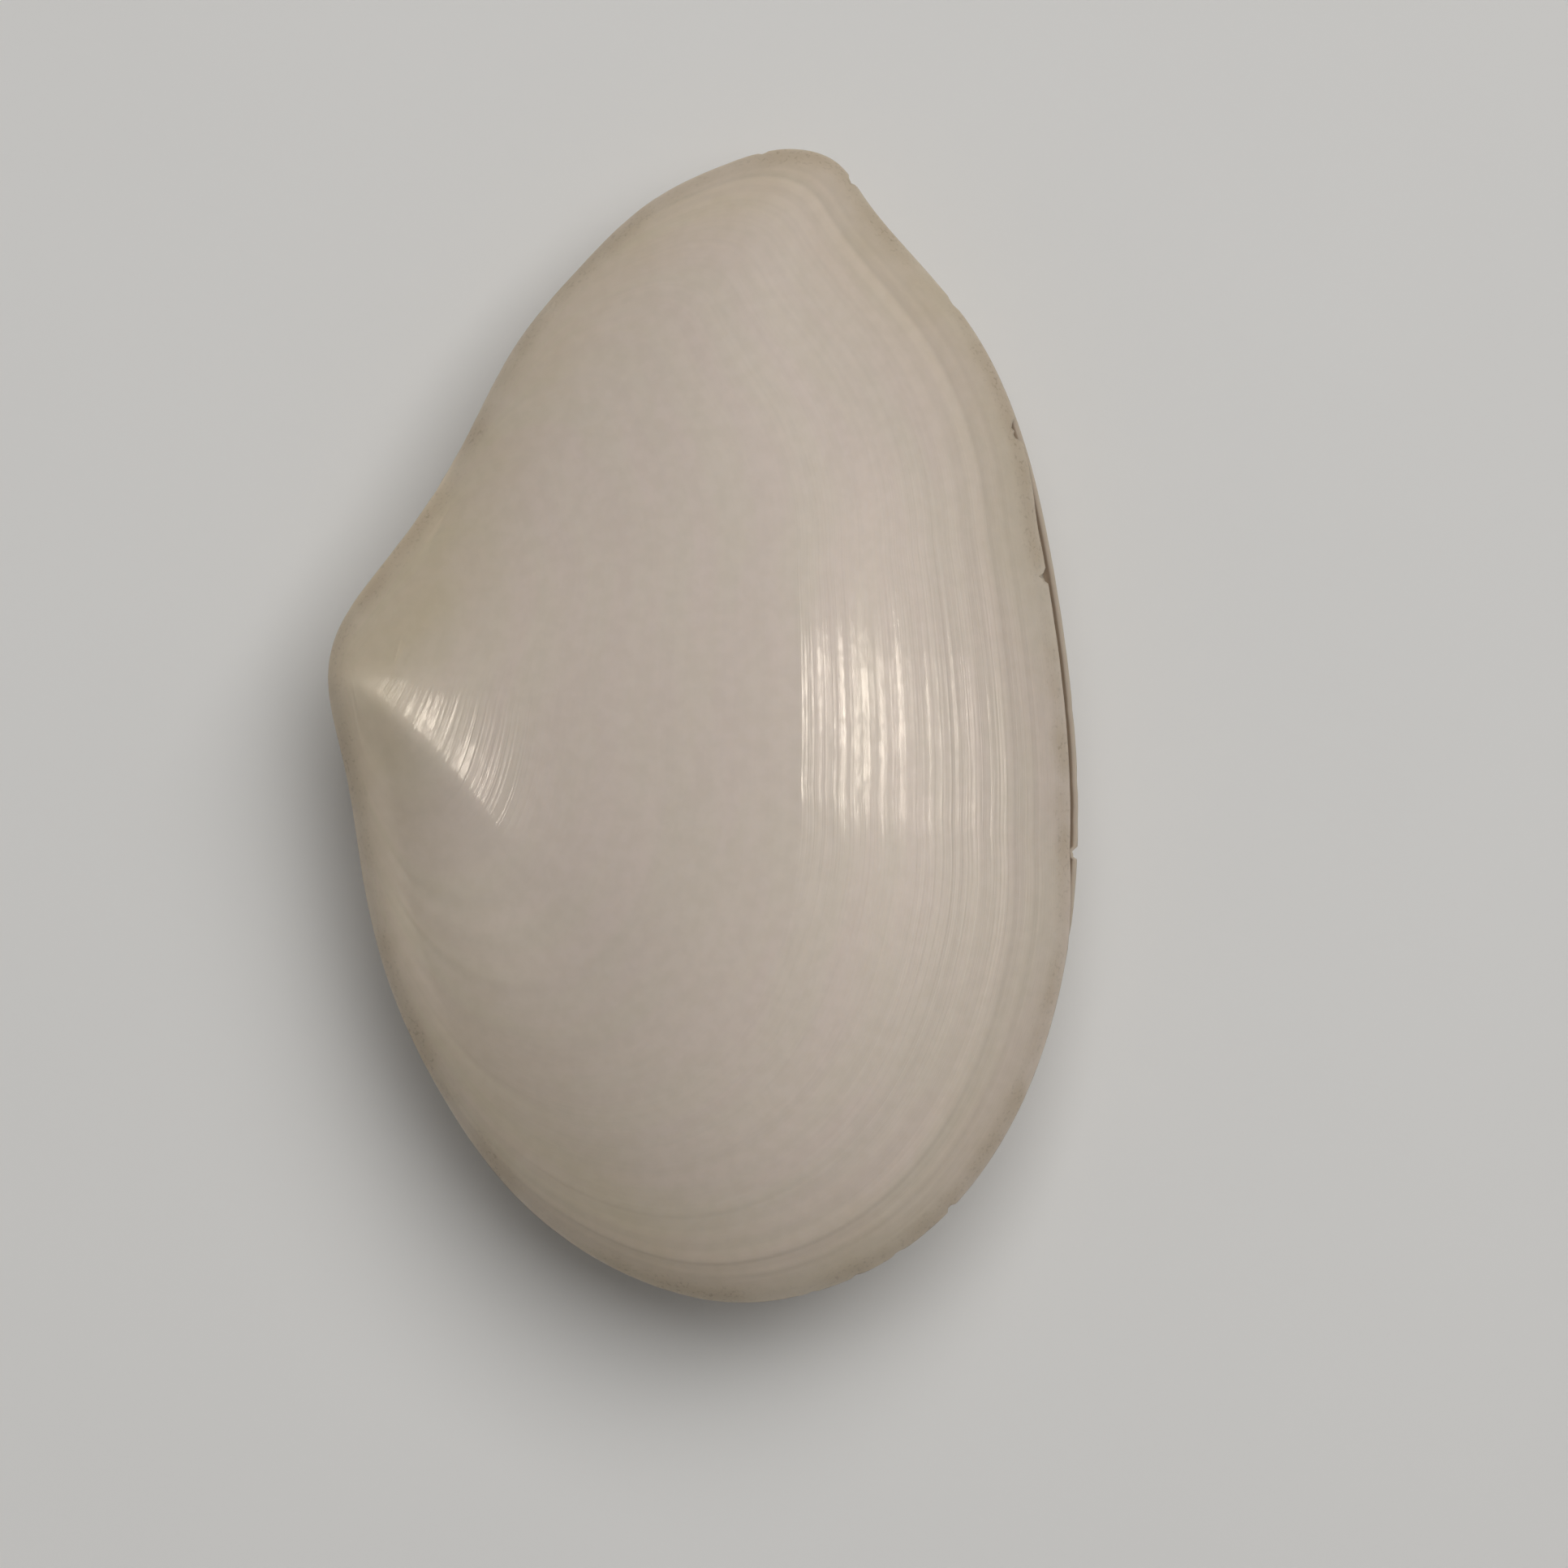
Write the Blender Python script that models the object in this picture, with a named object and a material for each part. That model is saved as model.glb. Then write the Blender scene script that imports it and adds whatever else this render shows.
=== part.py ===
"""A closed tellin clam shell, lying on its right valve with the left valve up.

Two thin hollow valves meet along their margins, and the dried ligament sits in a slot behind the beaks.
The shell is designed in millimetres in its own frame: the beaks at the origin, X towards the ventral margin,
Y towards the posterior end, Z out of the left valve, and the valves meeting at about Z = 0.
It is then tilted to the attitude in which such a shell rests on a table, and scaled to metres.
"""

import math

import bmesh
import bpy
import numpy as np
from mathutils import Matrix

MM = 0.001

# Driving dimensions, in millimetres
SHELL_LENGTH = 50.0
VALVE_DEPTH = 6.7
WALL_AT_HINGE = 1.8
WALL_AT_MARGIN = 0.8
MARGIN_WIDTH = 0.6
HINGE_PLATE_WIDTH = 2.6
VALVE_GAP = 0.3

# Attitude at rest on a flat surface, in degrees
REST_ROLL = 0.0
REST_PITCH = -0.6

# Outline of the right valve, drawn for a shell 50 mm long
OUTLINE_LENGTH = 50.0
BEAK = [(0.0, -0.25), (0.42, 1.4)]
POSTERIOR_DORSAL = [(1.65, 3.27), (4.04, 6.42), (6.28, 10.36), (8.04, 13.65), (10.85, 17.09), (13.86, 19.9)]
POSTERIOR_END = [(17.02, 21.5), (20.3, 22.2), (22.0, 21.6), (23.1, 20.2), (24.8, 18.08)]
VENTRAL = [(27.76, 14.5), (29.84, 10.18), (31.2, 4.74), (32.12, -1.58), (32.4, -7.2), (31.8, -13.34)]
ANTERIOR_END = [(29.8, -19.5), (25.75, -24.8), (20.88, -27.34), (17.3, -27.75), (13.16, -26.68)]
ANTERIOR_DORSAL = [(8.25, -23.34), (4.91, -18.85), (2.56, -13.86), (1.44, -9.3), (0.67, -4.56)]
OUTLINE = BEAK + POSTERIOR_DORSAL + POSTERIOR_END + VENTRAL + ANTERIOR_END + ANTERIOR_DORSAL
VENTRAL_SIDE = 20.0

# How far the right valve's margin shows past the left one's, and the stretch along Y where it does
VENTRAL_STEP = 0.33
VENTRAL_STEP_MIDDLE = -1.2
VENTRAL_STEP_HALF_LENGTH = 12.6

# The plane in which the valves meet bends towards the right valve at the posterior end
FLEXURE = 0.8
FLEXURE_START = 7.0
FLEXURE_LENGTH = 17.0

# Shape of the dome: its steepness over the dorsal and ventral margins, how far from the hinge the one passes
# into the other, how full it is, and the point outside the rounded beak from which the umbo spreads like a cone
DORSAL_SLOPE = 0.84
VENTRAL_SLOPE = 0.69
SLOPE_CHANGE = 14.0
FULLNESS = 0.45
CONE_TIP = (-1.1, -0.35)
CONE_WIDTH = 4.0
CONE_ANTERIOR_REACH = 9.5

# Rounding of the margin
EDGE_WIDTH = 1.8
EDGE_HEIGHT = 0.5
BEAK_MIDDLE = -0.3
BEAK_HALF_LENGTH = 3.2
BEAK_OVERHANG = 0.3

# Growth: the centre it spreads from, its fastest direction, and how much slower it is to either side
GROWTH_CENTRE = (2.8, -0.9)
GROWTH_AXIS = math.radians(-10.0)
GROWTH_SPREAD = math.radians(62.0)
SLOWEST_GROWTH = 0.45
EARLY_GROWTH = 0.03

# Chips out of the ventral margin: Y, length along the margin and depth, in millimetres
LEFT_CHIPS = [(9.95, 1.5, 0.32), (3.65, 0.8, 0.22)]
RIGHT_CHIPS = [(-8.35, 0.6, 0.2)]

# Ligament, in a slot along the posterior dorsal margin between these values of Y
SLOT_START = 1.0
SLOT_END = 9.6
DORSAL_SIDE = 9.0
LIGAMENT_THICKNESS = 1.1
THINNEST_LIGAMENT = 0.25
LIGAMENT_DEPTH = 1.5
LIGAMENT_INSET = 0.3

# Middle of the hollow in each valve, and the stretch of the dorsal margin that the hinge plate backs
HOLLOW_MIDDLE = (14.9, -1.7)
HINGE_MIDDLE = 1.5
HINGE_HALF_LENGTH = 7.0

# Fineness of the faceted solids
MARGIN_STATIONS = 84
CHIP_FINENESS = 0.12
GROWTH_RINGS = (0.05, 0.11, 0.18, 0.25, 0.31, 0.37, 0.43, 0.49, 0.56, 0.65, 0.75, 0.87, 1.0)
EDGE_INSET = 1.4
BEAK_EDGE_INSET = 1.05
EDGE_RINGS = (0.85, 0.4, 0.12)
LIP_SLOPE = 0.8
INNER_RINGS = (1.0, 0.965, 0.91, 0.83, 0.71, 0.56, 0.39, 0.2)
LIGAMENT_SECTIONS = 12
LIGAMENT_SIDES = 10
SHARP_EDGE = math.radians(50.0)


def closed_spline(points, samples_per_span=30):
    """Dense points on the closed curve of continuous curvature through the given points."""
    knots = np.asarray(points, float)
    count = len(knots)
    span = np.linalg.norm(np.roll(knots, -1, 0) - knots, axis=1)
    system = np.zeros((count, count))
    right = np.zeros((count, 2))
    for i in range(count):
        before, after = i - 1, (i + 1) % count
        system[i, before] += span[before]
        system[i, i] += 2 * (span[before] + span[i])
        system[i, after] += span[i]
        right[i] = 6 * ((knots[after] - knots[i]) / span[i] - (knots[i] - knots[before]) / span[before])
    bend = np.linalg.solve(system, right)
    pieces = []
    for i in range(count):
        after = (i + 1) % count
        done = np.linspace(0, span[i], samples_per_span, endpoint=False)[:, None]
        left = span[i] - done
        pieces.append(
            (bend[i] * left**3 + bend[after] * done**3) / (6 * span[i])
            + (knots[i] / span[i] - bend[i] * span[i] / 6) * left
            + (knots[after] / span[i] - bend[after] * span[i] / 6) * done
        )
    return np.concatenate(pieces)


def smooth_step(value):
    value = np.clip(value, 0, 1)
    return value * value * (3 - 2 * value)


def bump(value):
    """1 at 0, falling smoothly to 0 at -1 and 1."""
    return np.where(np.abs(value) < 1, np.cos(np.clip(value, -1, 1) * math.pi / 2) ** 2, 0)


def outward(curve):
    """Unit normals of a closed curve that runs clockwise seen from +Z."""
    along = np.roll(curve, -1, 0) - np.roll(curve, 1, 0)
    normal = np.stack([-along[:, 1], along[:, 0]], axis=1)
    return normal / np.linalg.norm(normal, axis=1)[:, None]


def right_outline():
    return closed_spline(OUTLINE) * SHELL_LENGTH / OUTLINE_LENGTH


def left_outline():
    """The left valve's margin lies a little inside the right one's along the ventral side."""
    curve = right_outline()
    along = (curve[:, 1] - VENTRAL_STEP_MIDDLE) / VENTRAL_STEP_HALF_LENGTH
    share = np.minimum(1, 2.5 * bump(along)) * (curve[:, 0] > VENTRAL_SIDE)
    return curve - outward(curve) * (VENTRAL_STEP * share)[:, None]


def meeting_height(points):
    """Height of the surface in which the valves meet."""
    return -FLEXURE * smooth_step((points[:, 1] - FLEXURE_START) / FLEXURE_LENGTH)


def slot_height(points):
    """Half the height of the gap between the valves, which opens into a slot along the ligament."""
    middle = (SLOT_START + SLOT_END) / 2
    half_length = (SLOT_END - SLOT_START) / 2
    opening = np.sqrt(bump((points[:, 1] - middle) / half_length)) * (points[:, 0] < DORSAL_SIDE)
    return VALVE_GAP / 2 + opening * (LIGAMENT_THICKNESS + VALVE_GAP) / 2


def wall_thickness(points):
    """The valve thins steadily from the hinge to the ventral margin."""
    across = np.clip(points[:, 0] / (0.65 * SHELL_LENGTH), 0, 1)
    return WALL_AT_HINGE + (WALL_AT_MARGIN - WALL_AT_HINGE) * across


def growth_share(points, age):
    """How far out from the growth centre a growth line lies, as a share of the way to each margin point."""
    arm = points - np.array(GROWTH_CENTRE)
    off = np.arctan2(arm[:, 1], arm[:, 0]) - GROWTH_AXIS
    off = (off + math.pi) % (2 * math.pi) - math.pi
    power = SLOWEST_GROWTH + (1 - SLOWEST_GROWTH) * np.exp(-((off / GROWTH_SPREAD) ** 2))
    start = EARLY_GROWTH**power
    return ((age + EARLY_GROWTH) ** power - start) / ((1 + EARLY_GROWTH) ** power - start)


class Margin:
    """Points spaced round one valve's margin, closer at bends and chips, with what changes along it."""

    def __init__(self, curve, chips):
        step = np.linalg.norm(np.roll(curve, -1, 0) - curve, axis=1)
        normal = outward(curve)
        turn = np.arccos(np.clip((normal * np.roll(normal, -1, 0)).sum(1), -1, 1))
        cost = step / step.sum() + turn / (2.5 * math.pi)
        for y, length, _ in chips:
            cost = cost + CHIP_FINENESS * step * (curve[:, 0] > VENTRAL_SIDE) * bump((curve[:, 1] - y) / length)
        travelled = np.concatenate([[0], np.cumsum(cost)])
        wanted = np.linspace(0, travelled[-1], MARGIN_STATIONS, endpoint=False)
        index = np.interp(wanted, travelled, np.arange(len(travelled)))
        self.points = self.sampled(curve, index)
        self.normals = self.sampled(normal, index)
        self.normals /= np.linalg.norm(self.normals, axis=1)[:, None]
        self.chipped = np.zeros(MARGIN_STATIONS)
        for y, length, depth in chips:
            bite = np.minimum(1, 1.6 * bump((self.points[:, 1] - y) / (length / 2)))
            self.chipped += depth * bite * (self.points[:, 0] > VENTRAL_SIDE)
        self.at_beak = bump((self.points[:, 1] - BEAK_MIDDLE) / BEAK_HALF_LENGTH) * (self.points[:, 0] < CONE_WIDTH)
        self.slot = slot_height(self.points)

    @staticmethod
    def sampled(values, index):
        closed = np.vstack([values, values[:1]])
        places = np.arange(len(closed))
        return np.stack([np.interp(index, places, closed[:, k]) for k in (0, 1)], axis=1)

    def inset(self, depth):
        return self.points - self.normals * depth[:, None]


class Dome:
    """The outer surface of one valve, as a height over the plane in which the valves meet."""

    def __init__(self, curve):
        self.curve = curve
        away = (curve[:, 0] > CONE_WIDTH) | (curve[:, 1] < -CONE_ANTERIOR_REACH)
        start = np.flatnonzero(away & ~np.roll(away, 1))[0]
        kept = np.roll(curve, -start, 0)[: away.sum()]
        tip = np.array(CONE_TIP)
        straight = np.linspace(0, 1, 60, endpoint=False)[:, None]
        self.rim = np.concatenate([kept, kept[-1] + straight * (tip - kept[-1]), tip + straight * (kept[0] - tip)])
        gap = np.linalg.norm(np.roll(self.rim, -1, 0) - self.rim, axis=1)
        slope = DORSAL_SLOPE + (VENTRAL_SLOPE - DORSAL_SLOPE) * smooth_step(self.rim[:, 0] / SLOPE_CHANGE)
        self.weight = (gap + np.roll(gap, 1)) / 2 / slope**2
        across = np.linspace(HOLLOW_MIDDLE[0] - 8, HOLLOW_MIDDLE[0] + 8, 100)
        self.tallest = self.blend(np.stack([across, np.full(100, -4.5)], axis=1)).max()

    def blend(self, points):
        """Rises from every part of the margin at that part's slope, and passes smoothly from one to another."""
        distance = np.linalg.norm(points[:, None] - self.rim[None], axis=2)
        return np.sqrt(2 / (self.weight / np.maximum(distance, 0.01) ** 3).sum(1))

    def height(self, points):
        share = self.blend(points) / self.tallest
        full = share * (1 + FULLNESS * (1 - share))
        to_edge = np.linalg.norm(points[:, None] - self.curve[None], axis=2).min(1)
        inside = np.minimum(to_edge / EDGE_WIDTH, 1)
        return (VALVE_DEPTH - EDGE_HEIGHT) * full + EDGE_HEIGHT * np.sqrt(1 - (1 - inside) ** 2)

    def slope_stretch(self, points, nudge=0.01):
        """How much thicker a sloping wall is when measured straight up."""
        here = self.height(points)
        along_x = (self.height(points + [nudge, 0]) - here) / nudge
        along_y = (self.height(points + [0, nudge]) - here) / nudge
        return np.minimum(np.sqrt(1 + along_x**2 + along_y**2), 1.6)


def outer_rings(margin, dome):
    """Rings of the outer surface as plan and height, from the umbo out to the margin."""
    centre = np.array(GROWTH_CENTRE)
    inset_margin = margin.inset(EDGE_INSET + (BEAK_EDGE_INSET - EDGE_INSET) * margin.at_beak)
    for age in GROWTH_RINGS:
        plan = centre + (inset_margin - centre) * growth_share(inset_margin, age)[:, None]
        yield plan, dome.height(plan) + VALVE_GAP / 2
    for inset in EDGE_RINGS:
        depth = np.maximum(inset - EDGE_RINGS[-1] * margin.at_beak, margin.chipped + 0.3 * inset)
        plan = margin.inset(depth)
        lip = margin.slot + LIP_SLOPE * inset * (margin.slot > VALVE_GAP / 2)
        yield plan, np.maximum(dome.height(plan) + VALVE_GAP / 2, lip)
    yield margin.inset(margin.chipped + BEAK_OVERHANG * margin.at_beak), margin.slot


def hollow_height(dome, points):
    thickness = wall_thickness(points) * dome.slope_stretch(points)
    outer = dome.height(points)
    return outer - thickness * np.tanh(outer / thickness)


def inner_rings(margin, dome):
    """Rings of the hollow as plan and height, from the flat edge of the margin in to the middle."""
    at_hinge = np.exp(-(((margin.points[:, 1] - HINGE_MIDDLE) / HINGE_HALF_LENGTH) ** 2))
    at_hinge = at_hinge * (margin.points[:, 0] < DORSAL_SIDE)
    inner_margin = margin.inset(MARGIN_WIDTH + (HINGE_PLATE_WIDTH - MARGIN_WIDTH) * at_hinge + margin.chipped)
    middle = np.array(HOLLOW_MIDDLE)
    for share in INNER_RINGS:
        plan = middle + (inner_margin - middle) * share
        edge = share**16
        yield plan, hollow_height(dome, plan) * (1 - edge) + VALVE_GAP / 2 * (1 - edge) + margin.slot * edge


def add_ring(work, plan, height):
    return [work.verts.new((x, y, z)) for (x, y), z in zip(plan.tolist(), height.tolist())]


def bridge(work, rings):
    for first, second in zip(rings, rings[1:]):
        for i in range(len(first)):
            j = (i + 1) % len(first)
            work.faces.new((first[i], first[j], second[j], second[i]))


def close_ring(work, ring, place):
    """A fan of triangles from a ring to one point inside it."""
    centre = work.verts.new(place)
    for i in range(len(ring)):
        work.faces.new((ring[i], ring[(i + 1) % len(ring)], centre))


def valve_mesh(name, curve, side, chips):
    """One hollow valve. side is 1 for the left valve, over the meeting plane, and -1 for the right one."""
    dome = Dome(curve)
    margin = Margin(curve, chips)
    work = bmesh.new()

    def level(plan, height):
        return meeting_height(plan) + side * height

    outer = [add_ring(work, plan, level(plan, height)) for plan, height in outer_rings(margin, dome)]
    inner = [add_ring(work, plan, level(plan, height)) for plan, height in inner_rings(margin, dome)]
    bridge(work, outer + inner)
    umbo = np.array([GROWTH_CENTRE])
    umbo_top = level(umbo, dome.height(umbo) + VALVE_GAP / 2)[0]
    close_ring(work, outer[0], (*GROWTH_CENTRE, umbo_top))
    middle = np.array([HOLLOW_MIDDLE])
    ceiling = level(middle, hollow_height(dome, middle) + VALVE_GAP / 2)[0]
    close_ring(work, inner[-1], (*HOLLOW_MIDDLE, ceiling))
    return finished(work, name)


def ligament_mesh(name):
    """A spindle that bridges the valves behind the beaks, along the posterior dorsal margin."""
    curve = right_outline()
    held = (curve[:, 0] < DORSAL_SIDE) & (curve[:, 1] > SLOT_START) & (curve[:, 1] < SLOT_END)
    out = outward(curve)[held]
    path = curve[held] - out * (LIGAMENT_INSET + LIGAMENT_DEPTH / 2)
    half_thick = slot_height(curve[held]) - VALVE_GAP
    usable = np.flatnonzero(half_thick > THINNEST_LIGAMENT / 2)
    turns = np.linspace(0, 2 * math.pi, LIGAMENT_SIDES, endpoint=False)
    work = bmesh.new()
    rings, middles = [], []
    for index in np.linspace(usable[0], usable[-1], LIGAMENT_SECTIONS).round().astype(int):
        fullness = half_thick[index] / half_thick.max()
        half_deep = LIGAMENT_DEPTH / 2 * (0.35 + 0.65 * fullness)
        plan = path[index] + out[index] * (half_deep * np.cos(turns))[:, None]
        height = meeting_height(plan) + half_thick[index] * np.sin(turns)
        rings.append(add_ring(work, plan, height))
        middles.append((*plan.mean(0).tolist(), float(height.mean())))
    bridge(work, rings)
    close_ring(work, rings[0], middles[0])
    close_ring(work, rings[-1], middles[-1])
    return finished(work, name)


def finished(work, name):
    """A triangulated mesh with its faces pointing out, in metres."""
    bmesh.ops.triangulate(work, faces=work.faces)
    bmesh.ops.recalc_face_normals(work, faces=work.faces)
    bmesh.ops.scale(work, vec=(MM, MM, MM), verts=work.verts)
    mesh = bpy.data.meshes.new(name)
    work.to_mesh(mesh)
    work.free()
    mesh.shade_smooth()
    mesh.set_sharp_from_angle(angle=SHARP_EDGE)
    return mesh


def material(name, colour, roughness):
    made = bpy.data.materials.new(name)
    made.use_nodes = True
    surface = made.node_tree.nodes["Principled BSDF"]
    surface.inputs["Base Color"].default_value = (*colour, 1)
    surface.inputs["Roughness"].default_value = roughness
    surface.inputs["Metallic"].default_value = 0.0
    return made


def add_piece(name, mesh, finish):
    piece = bpy.data.objects.new(name, mesh)
    mesh.materials.append(finish)
    bpy.context.scene.collection.objects.link(piece)
    return piece


def set_down(pieces):
    """Tilts the shell to its resting attitude, with its lowest point at Z = 0 and its box centred on the Z axis."""
    tilt = Matrix.Rotation(math.radians(REST_PITCH), 4, "X") @ Matrix.Rotation(math.radians(REST_ROLL), 4, "Y")
    for piece in pieces:
        piece.data.transform(tilt)
    corners = np.array([vertex.co for piece in pieces for vertex in piece.data.vertices])
    low, high = corners.min(0), corners.max(0)
    middle = (low + high) / 2
    for piece in pieces:
        piece.data.transform(Matrix.Translation((-middle[0], -middle[1], -low[2])))


def main():
    for old in list(bpy.data.objects):
        bpy.data.objects.remove(old)
    upper = material("white_shell_left", (0.62, 0.54, 0.46), 0.25)
    lower = material("white_shell_right", (0.60, 0.52, 0.44), 0.25)
    horn = material("dried_ligament", (0.16, 0.09, 0.045), 0.6)
    pieces = [
        add_piece("left_valve", valve_mesh("left_valve", left_outline(), 1, LEFT_CHIPS), upper),
        add_piece("right_valve", valve_mesh("right_valve", right_outline(), -1, RIGHT_CHIPS), lower),
        add_piece("ligament", ligament_mesh("ligament"), horn),
    ]
    set_down(pieces)


main()
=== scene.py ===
"""The looks of a closed white clam shell that lies on a pale floor, seen from straight above.

The two valves and the ligament are made again as fine meshes, with growth lines, ridges, chips and a worn
edge. They repeat the part's formulas, in millimetres and in the shell's own frame: the beaks at the origin,
X towards the ventral margin, Y towards the posterior end and Z out of the left valve. Then they are tilted
and set down where the part is.
"""

import math

import bpy
import numpy as np
from mathutils import Matrix, Quaternion, Vector


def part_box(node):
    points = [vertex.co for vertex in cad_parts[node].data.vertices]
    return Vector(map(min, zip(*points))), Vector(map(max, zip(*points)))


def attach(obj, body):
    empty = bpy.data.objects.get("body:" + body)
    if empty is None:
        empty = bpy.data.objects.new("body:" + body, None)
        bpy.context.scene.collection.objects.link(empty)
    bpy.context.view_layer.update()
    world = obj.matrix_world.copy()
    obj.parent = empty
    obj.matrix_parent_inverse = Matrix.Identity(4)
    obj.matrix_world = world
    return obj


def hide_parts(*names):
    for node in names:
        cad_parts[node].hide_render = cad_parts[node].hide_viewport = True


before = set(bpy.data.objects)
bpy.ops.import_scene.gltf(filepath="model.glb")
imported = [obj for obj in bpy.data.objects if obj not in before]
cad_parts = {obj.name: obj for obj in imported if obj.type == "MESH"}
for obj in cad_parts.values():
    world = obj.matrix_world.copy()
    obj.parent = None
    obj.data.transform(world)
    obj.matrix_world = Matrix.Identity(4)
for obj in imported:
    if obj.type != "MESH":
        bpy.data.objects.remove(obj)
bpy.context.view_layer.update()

MM = 0.001
MM_PER_METRE = 1000

# Sizes of the part, in millimetres
SHELL_LENGTH = 50.0
VALVE_DEPTH = 6.7
WALL_AT_HINGE = 1.8
WALL_AT_MARGIN = 0.8
WALL_THINS_OVER = 0.65 * SHELL_LENGTH
MARGIN_WIDTH = 0.6
HINGE_PLATE_WIDTH = 2.6
REST_PITCH = math.radians(-0.6)

# Outline of the right valve
BEAK = [(0.0, -0.25), (0.42, 1.4)]
POSTERIOR_DORSAL = [(1.65, 3.27), (4.04, 6.42), (6.28, 10.36), (8.04, 13.65), (10.85, 17.09), (13.86, 19.9)]
POSTERIOR_END = [(17.02, 21.5), (20.3, 22.2), (22.0, 21.6), (23.1, 20.2), (24.8, 18.08)]
VENTRAL = [(27.76, 14.5), (29.84, 10.18), (31.2, 4.74), (32.12, -1.58), (32.4, -7.2), (31.8, -13.34)]
ANTERIOR_END = [(29.8, -19.5), (25.75, -24.8), (20.88, -27.34), (17.3, -27.75), (13.16, -26.68)]
ANTERIOR_DORSAL = [(8.25, -23.34), (4.91, -18.85), (2.56, -13.86), (1.44, -9.3), (0.67, -4.56)]
OUTLINE = BEAK + POSTERIOR_DORSAL + POSTERIOR_END + VENTRAL + ANTERIOR_END + ANTERIOR_DORSAL
VENTRAL_SIDE = 20.0

# The right valve's margin shows past the left one's along the ventral side
VENTRAL_STEP = 0.33
VENTRAL_STEP_MIDDLE = -1.2
VENTRAL_STEP_HALF_LENGTH = 12.6
VENTRAL_STEP_RISE = 2.5

# The plane in which the valves meet bends towards the right valve at the posterior end
FLEXURE = 0.8
FLEXURE_START = 7.0
FLEXURE_LENGTH = 17.0

# Shape of the dome
DORSAL_SLOPE = 0.84
VENTRAL_SLOPE = 0.69
SLOPE_CHANGE = 14.0
FULLNESS = 0.45
CONE_TIP = (-1.1, -0.35)
CONE_WIDTH = 4.0
CONE_ANTERIOR_REACH = 9.5
CONE_SIDE_POINTS = 60
SUMMIT_Y = -4.5
SUMMIT_REACH = 8
SUMMIT_SAMPLES = 100
LEAST_DISTANCE = 0.01
MOST_STRETCH = 1.6
EDGE_WIDTH = 1.8
EDGE_HEIGHT = 0.5
BEAK_MIDDLE = -0.3
BEAK_HALF_LENGTH = 3.2
BEAK_OVERHANG = 0.3

# Slot of the ligament
SLOT_START = 1.0
SLOT_END = 9.6
SLOT_HALF_HEIGHT = 0.85
DORSAL_SIDE = 9.0

# Ligament: how far it keeps from the valves and lies in from the outline, its thin ends and its half depth
LIGAMENT_CLEARANCE = 0.03
LIGAMENT_INSET = 1.0
LIGAMENT_THINNEST = 0.06
LIGAMENT_HALF_DEPTH = 0.8

# The valves of the fine meshes meet more closely than the solids do
VALVE_GAP = 0.3
VISIBLE_GAP = 0.08

# Top of the umbo, from which the meshes' rings spread
UMBO = (2.8, -0.9)

# Growth starts close to the beak, is fastest along an axis that turns with age, and is slower beside it
GROWTH_START = (1.2, -0.5)
GROWTH_LENGTH = 31.2
GROWTH_AXIS = math.radians(-13.0)
EARLY_TURN = math.radians(-28.0)
TURN_LASTS = 0.25
GROWTH_SPREAD = math.radians(62.0)
SLOWEST_GROWTH = 0.45
EARLY_GROWTH = 0.03

# Hollow of each valve
HOLLOW_MIDDLE = (14.9, -1.7)
HINGE_MIDDLE = 1.5
HINGE_HALF_LENGTH = 7.0
INNER_RINGS = (1.0, 0.98, 0.95, 0.91, 0.85, 0.77, 0.67, 0.55, 0.42, 0.28, 0.14)

# Chips of the margins: X, Y, length along the margin and depth. The shared ones cut both valves
SHARED_CHIPS = [
    (18.8, 21.9, 0.8, 0.09),
    (22.75, 20.9, 0.7, 0.14),
    (27.0, 15.45, 0.5, 0.08),
    (27.0, -23.7, 0.6, 0.12),
    (24.75, -25.8, 0.9, 0.09),
    (22.9, -26.7, 0.6, 0.08),
    (20.9, -27.35, 0.5, 0.06),
]
LEFT_CHIPS = SHARED_CHIPS + [(29.74, 9.95, 1.5, 0.3), (31.15, 3.65, 0.75, 0.22)]
RIGHT_CHIPS = SHARED_CHIPS + [(32.37, -8.36, 0.5, 0.21), (30.9, -16.6, 0.8, 0.06), (16.0, -27.6, 0.7, 0.06)]
CHIP_STEEPNESS = 1.6
CHIP_RAGGEDNESS = 0.2
CHIP_RAGGED_PERIODS = (0.2, 0.6)

# Wear of the margins between the chips
WEAR = 0.035
WEAR_PERIODS = (0.4, 2.5)
WEAR_THRESHOLD = 0.4
WORN_FROM = 3

# Seeds of what is scattered at random
LEFT_SEED = 3
RIGHT_SEED = 8
LIGAMENT_SEED = 41

# Fineness of the meshes
STATIONS = 320
BEND_COARSENESS = 3 * math.pi
CHIP_FINENESS = 0.22
RING_AGES = ((0.004, 0.30, 56), (0.30, 0.61, 28), (0.61, 1.0, 184))
RING_SAMPLES = 500
ALIGNED_WITHIN = math.radians(70)
ALIGNED_FADE = math.radians(45)
RIM_INSET = 0.9
EDGE_INSETS = (0.82, 0.74, 0.66, 0.58, 0.5, 0.42, 0.34, 0.26, 0.19, 0.12, 0.06, 0.02)
LIP_SLOPE = 0.8
LIP_INSETS = (0.08, 0.16, 0.24, 0.33, 0.45)
LIGAMENT_SECTIONS = 90
LIGAMENT_SIDES = 40

# Growth halts: distance along the growth axis, depth and width of the groove, step down, and contrast of
# painted shade in the groove and painted light before it
HALTS = [
    (28.8, 0.012, 0.16, 0.02, 0.037),
    (25.95, 0.010, 0.14, 0.012, 0.027),
    (29.7, 0.006, 0.12, 0.008, 0.02),
    (27.55, 0.003, 0.12, 0.004, 0.013),
    (13.5, 0.002, 0.25, 0.003, 0.012),
]
HALT_RECOVERY = 2.2
PALE_BAND = 0.38
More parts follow.
